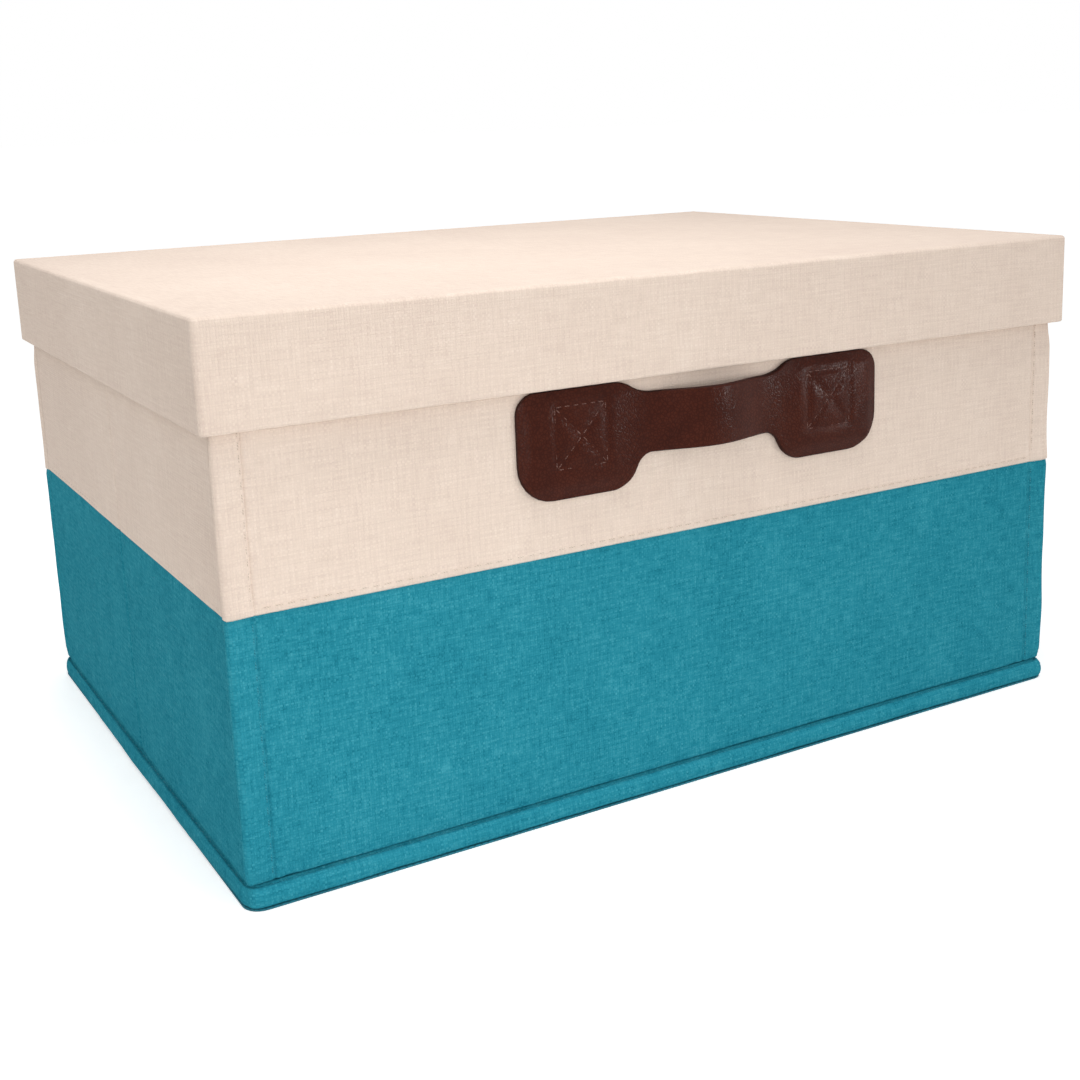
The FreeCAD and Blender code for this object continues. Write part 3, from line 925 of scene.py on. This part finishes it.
def makeHandle(side, sign, body):
    s = strap
    half = [(s["neck"], s["strapTop"], "neckBend"), (s["padTopStart"], s["padTop"], "innerTop"),
            (s["end"], s["padTop"], "outerTop"), (s["end"], s["padBottom"], "outerBottom"),
            (s["padBottomStart"], s["padBottom"], "innerBottom"), (s["neck"], s["strapBottom"], "neckBend")]
    bm = bmesh.new()
    corners = [(bm.verts.new((x, 0, z)), bend) for x, z, bend in half]
    corners += [(bm.verts.new((-x, 0, z)), bend) for x, z, bend in reversed(half)]
    bm.faces.new([vert for vert, bend in corners])
    for bend in ("outerTop", "outerBottom", "innerTop", "innerBottom", "neckBend"):
        bends = [vert for vert, kind in corners if kind == bend and vert.is_valid]
        bmesh.ops.bevel(bm, geom=bends, offset=s[bend], offset_type="OFFSET", affect="VERTICES",
                        segments=7, profile=0.5, material=-1)
    outline = max(bm.faces, key=lambda f: f.calc_area())
    grown = bmesh.ops.extrude_face_region(bm, geom=[outline])["geom"]
    grownVerts = [g for g in grown if isinstance(g, bmesh.types.BMVert)]
    bmesh.ops.translate(bm, verts=grownVerts, vec=(0, s["leather"], 0))
    bmesh.ops.recalc_face_normals(bm, faces=bm.faces[:])
    rims = [e for e in bm.edges if abs(e.verts[0].co.y - e.verts[1].co.y) < 1e-9]
    bmesh.ops.bevel(bm, geom=rims, offset=s["edgeRound"], offset_type="OFFSET", affect="EDGES",
                    segments=3, profile=0.5, material=-1)
    for face in bm.faces:
        face.material_index = 0 if abs(face.normal.y) > 0.75 else 1
    for count, way, low, high in ((110, Vector((1, 0, 0)), -s["end"], s["end"]),
                                  (27, Vector((0, 0, 1)), s["padBottom"], s["padTop"])):
        for cut in range(1, count):
            bmesh.ops.bisect_plane(bm, geom=bm.faces[:] + bm.edges[:] + bm.verts[:], dist=1e-7,
                                   plane_co=way * (low + (high - low) * cut / count), plane_no=way)
    for vert in bm.verts:
        x, out, z = vert.co
        share = out / (0.5 * s["leather"]) - 1  # the wall's side stays flat
        if share > 0:
            out += share * leatherSwell(x, z)
        x, out, z = handlePlace(x, z, out)
        vert.co = Vector((-sign * (x + s["middle"]), sign * (box["halfDepth"] + out), z))
    bmesh.ops.remove_doubles(bm, verts=bm.verts[:], dist=0.005 * mm)
    bmesh.ops.recalc_face_normals(bm, faces=bm.faces[:])
    handle = finishMesh(f"{side}_handle_leather", bm, [brownLeather, edgePaint], 40)
    fit(handle, body, [f"{side}_handle"])


longSides = (("front", -1, "base_and_front"), ("back", 1, "back"))
for side, sign, body in longSides:
    makeHandle(side, sign, body)
print("storage box: handles cut and sewn")


# sewing threads. Heights are measured from the lines that the cloth folds along
thread = {
    "pitch": 4.2 * mm, "stitch": 3.0 * mm, "radius": 0.26 * mm,
    "overLine": 2.2 * mm, "overLining": 1.8 * mm,  # level stitching over the colour line and the lining
    "groove": (0.25 * mm, 7.35 * mm),  # place of the hem's stitching out from the wall, and its height
    "handlePitch": 3.2 * mm, "sink": 0.45 * mm,
}


def sewThread(name, lines, body, material, pitch=thread["pitch"]):
    # one small stitch, repeated by an array along each straight line of (start, end)
    halfStitch = min(thread["stitch"], 0.72 * pitch) / 2
    bm = bmesh.new()
    for start, end in lines:
        start, end = Vector(start), Vector(end)
        count = max(1, math.floor((end - start).length / pitch))
        turn = (end - start).to_track_quat("Z", "Y").to_matrix().to_4x4()
        size = Matrix.Diagonal((thread["radius"], thread["radius"], halfStitch, 1.0))
        first = Matrix.Translation(start.lerp(end, 0.5 / count)) @ turn @ size
        stitch = bmesh.new()
        bmesh.ops.create_uvsphere(stitch, u_segments=6, v_segments=4, radius=1.0, matrix=first)
        row = finishMesh("stitch", stitch, [material])
        repeat = row.modifiers.new("stitches", "ARRAY")
        repeat.count = count
        repeat.use_relative_offset = False
        repeat.use_constant_offset = True
        repeat.constant_offset_displace = (end - start) / count
        applied(row)
        bm.from_mesh(row.data)
        bpy.data.objects.remove(row)
    fit(finishMesh(name, bm, [material]), body)


colourStitch = box["colourLine"] + thread["overLine"]
rimStitch = box["liningTop"] + thread["overLining"]
for side, sign, body in longSides:
    creamLines, tealLines = [], []
    y = sign * (box["halfDepth"] - 0.05 * mm)
    for x in (-seamPlace - 0.9 * mm, seamPlace + 0.9 * mm):
        creamLines.append(((x, y, box["colourLine"] + 3 * mm), (x, y, box["rim"] - 3 * mm)))
        tealLines.append(((x, y, box["foot"] + 2 * mm), (x, y, box["colourLine"] - 2 * mm)))
    reach = seamPlace - 2 * mm
    for z, out in ((colourStitch, 0.36 * mm), (rimStitch, -box["wall"] - 0.08 * mm), (rimStitch, 0.08 * mm)):
        y = sign * (box["halfDepth"] + out)
        creamLines.append(((-reach, y, z), (reach, y, z)))
    sewThread(f"{side}_cream_stitches", creamLines, body, creamThread)
    sewThread(f"{side}_teal_stitches", tealLines, body, tealThread)

endStitch, creaseStitch = shortWall["outerReach"] - 3 * mm, 4 * mm
for side, sign in (("left", -1), ("right", 1)):
    for part, start, end in (("front", -endStitch, -creaseStitch), ("rear", creaseStitch, endStitch)):
        lines = []
        for z, sunk in ((colourStitch, 0.12 * mm), (rimStitch, box["wall"] + 0.05 * mm), (rimStitch, 0.12 * mm)):
            x = sign * (box["halfLength"] - sunk)
            lines.append(((x, start, z), (x, end, z)))
        sewThread(f"{side}_{part}_cream_stitches", lines, f"{side}_{part}", creamThread)

hemLines = []
grooveOut, z = thread["groove"]
endX, endY = box["halfLength"] - 6 * mm, box["halfDepth"] - 6 * mm
for sign in (-1, 1):
    y = sign * (box["halfDepth"] + grooveOut)
    x = sign * (box["halfLength"] + grooveOut)
    hemLines += [((-endX, y, z), (endX, y, z)), ((x, -endY, z), (x, endY, z))]
sewThread("hem_stitches", hemLines, "base_and_front", tealThread, hem["stitchPitch"])


def padSpot(sign, end, x, z):
    # a place on the pad's leather, for the end of a line of stitches
    out = strap["leather"] + padDome(x, z) - thread["sink"]
    return (-sign * strap["middle"] + end * x, sign * (box["halfDepth"] + out), padMiddle + z)


low, high, bottom, top = strap["boxes"]
boxCorners = [(low, bottom), (high, bottom), (high, top), (low, top)]
centre = ((low + high) / 2, (bottom + top) / 2)
for side, sign, body in longSides:
    lines = []
    for end in (-1, 1):
        for index, corner in enumerate(boxCorners):
            for other in (boxCorners[(index + 1) % 4], centre):
                lines.append((padSpot(sign, end, *corner), padSpot(sign, end, *other)))
    sewThread(f"{side}_handle_stitches", lines, body, brownThread, thread["handlePitch"])
print("storage box: stitched")


# floor, light and camera
studio = {"paper": ("#f1f1f0", "#f6f6f5"), "worldLight": 0.61, "whiteness": 0.48, "floorHalf": 30.0}


def seenDirectly(tree):
    # 1 for rays from the camera, or from it by way of a shiny or clear surface
    rays = addNode(tree, "LightPath").outputs
    either = addNode(tree, "Math", {"operation": "MAXIMUM"},
                     {0: rays["Is Camera Ray"], 1: rays["Is Glossy Ray"]})
    return addNode(tree, "Math", {"operation": "MAXIMUM"}, {0: either, 1: rays["Is Transmission Ray"]})


# matt white paper: it shows the box's soft shadow, and looks white where nothing shades it
paper, tree, shader = newMaterial("whiteStudioPaper")
place = addNode(tree, "TexCoord").outputs["Object"]
fibre = addNode(tree, "TexNoise", inputs={"Vector": place, "Scale": 1 / (9 * mm), "Detail": 3.0})
ramp = addNode(tree, "ValToRGB", inputs={0: fibre})
setStops(ramp, [(0.3, studio["paper"][0]), (0.7, studio["paper"][1])])
setInputs(tree, shader, {"Base Color": ramp, "Roughness": 0.95, "Specular IOR Level": 0.0})
glow = addNode(tree, "Math", {"operation": "MULTIPLY"}, {0: seenDirectly(tree), 1: studio["whiteness"]})
white = addNode(tree, "Emission", inputs={"Strength": glow})
both = addNode(tree, "AddShader", inputs={0: shader, 1: white})
setInputs(tree, tree.nodes["Material Output"], {"Surface": both})
bm = bmesh.new()
bmesh.ops.create_grid(bm, x_segments=8, y_segments=8, size=studio["floorHalf"])
finishMesh("studio_floor", bm, [paper])

world = bpy.data.worlds.new("studioWorld")
bpy.context.scene.world = world
world.use_nodes = True
tree = world.node_tree
tree.nodes.clear()
plain = (1.0, 1.0, 1.0, 1.0)
light = addNode(tree, "Background", inputs={"Color": plain, "Strength": studio["worldLight"]})
white = addNode(tree, "Background", inputs={"Color": plain, "Strength": 1.0})
mix = addNode(tree, "MixShader", inputs={0: seenDirectly(tree), 1: light, 2: white})
addNode(tree, "OutputWorld", inputs={0: mix})

lamps = {  # place, aim, size, power in watts and spread in degrees
    "topLamp": ((-0.05, -0.22, 1.1), (-0.05, -0.06, 0.2), (0.35, 0.35), 0.6, 60),
    "frontStrip": ((-0.21, -0.60, 0.17), (-0.17, -0.14, 0.08), (0.025, 0.30), 0.225, 110),
    "sideStrip": ((0.66, -0.77, 0.13), (0.0, -0.14, 0.13), (0.04, 0.16), 0.18, 80),
    "backSheet": ((0.15, 1.0, 0.45), (0.0, 0.14, 0.12), (0.5, 0.4), 0.3, 90),
    "leftSheet": ((-0.8, 0.0, 0.75), (-0.19, 0.0, 0.2), (0.3, 0.4), 0.08, 60),
}
for name, (at, aim, size, power, spreadAngle) in lamps.items():
    lampData = bpy.data.lights.new(name, "AREA")
    lampData.shape = "RECTANGLE"
    lampData.size, lampData.size_y = size
    lampData.energy = power
    lampData.spread = math.radians(spreadAngle)
    lamp = bpy.data.objects.new(name, lampData)
    lamp.location = at
    lamp.rotation_euler = (Vector(aim) - Vector(at)).to_track_quat("-Z", "Y").to_euler()
    bpy.context.scene.collection.objects.link(lamp)

view = {
    "at": Vector((-0.31676, -0.59141, 0.25595)),
    "yaw": math.radians(30.897), "down": math.radians(12.160), "roll": math.radians(-1.765),
    "lens": 50.07, "sensor": 36.0,
    "shift": (-60 / 1080, -100 / 1080),  # the photograph is cropped off its own centre
}
facing = Vector((math.sin(view["yaw"]), math.cos(view["yaw"]), 0))
ahead = math.cos(view["down"]) * facing - math.sin(view["down"]) * Vector((0, 0, 1))
level = Vector((facing.y, -facing.x, 0))
above = level.cross(ahead)
toRight = math.cos(view["roll"]) * level + math.sin(view["roll"]) * above
toTop = -math.sin(view["roll"]) * level + math.cos(view["roll"]) * above
cameraData = bpy.data.cameras.new("photoCamera")
cameraData.lens = view["lens"]
cameraData.sensor_width = view["sensor"]
cameraData.shift_x, cameraData.shift_y = view["shift"]
cameraData.clip_start = 0.02
camera = bpy.data.objects.new("photoCamera", cameraData)
turned = Matrix((toRight, toTop, -ahead)).transposed().to_4x4()
camera.matrix_world = Matrix.Translation(view["at"]) @ turned
bpy.context.scene.collection.objects.link(camera)
bpy.context.scene.camera = camera
bpy.context.scene.view_settings.view_transform = "Standard"
print("storage box: lit and framed")
